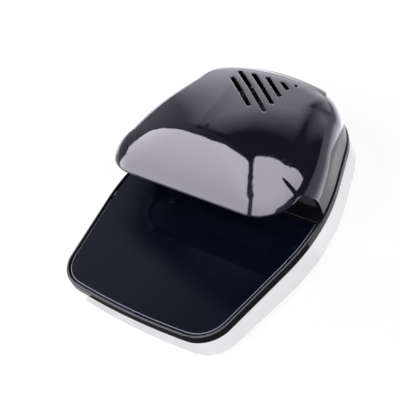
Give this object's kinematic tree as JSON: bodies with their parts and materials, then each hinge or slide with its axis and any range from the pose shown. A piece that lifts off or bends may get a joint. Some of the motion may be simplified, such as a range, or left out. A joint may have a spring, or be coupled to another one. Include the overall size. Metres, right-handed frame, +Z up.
{
  "type": "nail lamp",
  "caption": "Compact nail lamp: a domed hood with vents over a tray whose sprung finger plate works a hidden switch.",
  "frame": {"origin": "on the table, under the middle of the body's length and width", "axes": "+Z up, the finger opening faces -Y, the battery end is towards +Y"},
  "size_m": [0.0972, 0.1256, 0.0471],
  "materials": {
    "white_shell": "smooth moulded",
    "black_gloss": "polished",
    "plate_black": "polished",
    "hood_black": "polished",
    "liner_black": "fine matt",
    "steel": "bright",
    "spring_steel": "bright",
    "board_green": "solder mask",
    "component_black": "moulded",
    "plunger_white": "moulded",
    "cell_sleeve": "printed sleeve",
    "contact_nickel": "plated",
    "foot_rubber": "matt",
    "window_clear": "clear",
    "board_white": "solder mask",
    "led_lens": "clear",
    "fan_black": "moulded",
    "coil_copper": "enamelled"
  },
  "bodies": {
    "housing": {"base_shell": "white_shell", "deck": "black_gloss", "hood_shell": "hood_black", "hood_liner": "liner_black", "hinge_pins": "steel", "return_spring_left": "spring_steel", "return_spring_right": "spring_steel", "circuit_board": "board_green", "board_components": "component_black", "switch_body": "component_black", "board_screws": "steel", "case_screws": "steel", "fan_screws": "steel", "liner_screws": "steel", "batteries": "cell_sleeve", "battery_contacts": "contact_nickel", "rubber_feet": "foot_rubber", "led_window": "window_clear", "led_board": "board_white", "leds": "led_lens", "fan_frame": "fan_black", "fan_stator": "coil_copper"},
    "plate": {"finger_plate": "plate_black"},
    "plunger": {"switch_plunger": "plunger_white"},
    "rotor": {"fan_rotor": "fan_black", "fan_shaft": "steel"},
    "door": {"battery_door": "white_shell"}
  },
  "joints": [
    {"name": "plate_press", "type": "hinge", "parent": "housing", "child": "plate", "pos_m": [0, 0.00135, 0.0089], "axis": [1, 0, 0], "range_deg": [0, 1.2], "stiffness_Nm_per_rad": 2.4, "springref_deg": -2.86, "deforming": ["return_spring_left", "return_spring_right"]},
    {"name": "switch_press", "type": "slide", "parent": "housing", "child": "plunger", "axis": [0, 0, -1], "range_m": [0, 0.0006], "stiffness_N_per_m": 10, "springref_m": -0.0002},
    {"name": "fan_spin", "type": "hinge", "parent": "housing", "child": "rotor", "pos_m": [0.002, 0.032, 0.0274], "axis": [0, 0, 1], "continuous": true},
    {"name": "door_remove", "type": "slide", "parent": "housing", "child": "door", "axis": [0, 0, -1], "range_m": [0, 0.015]}
  ],
  "couplings": [
    {"joint": "switch_press", "follows": "plate_press", "m_per_rad": 0.012}
  ]
}
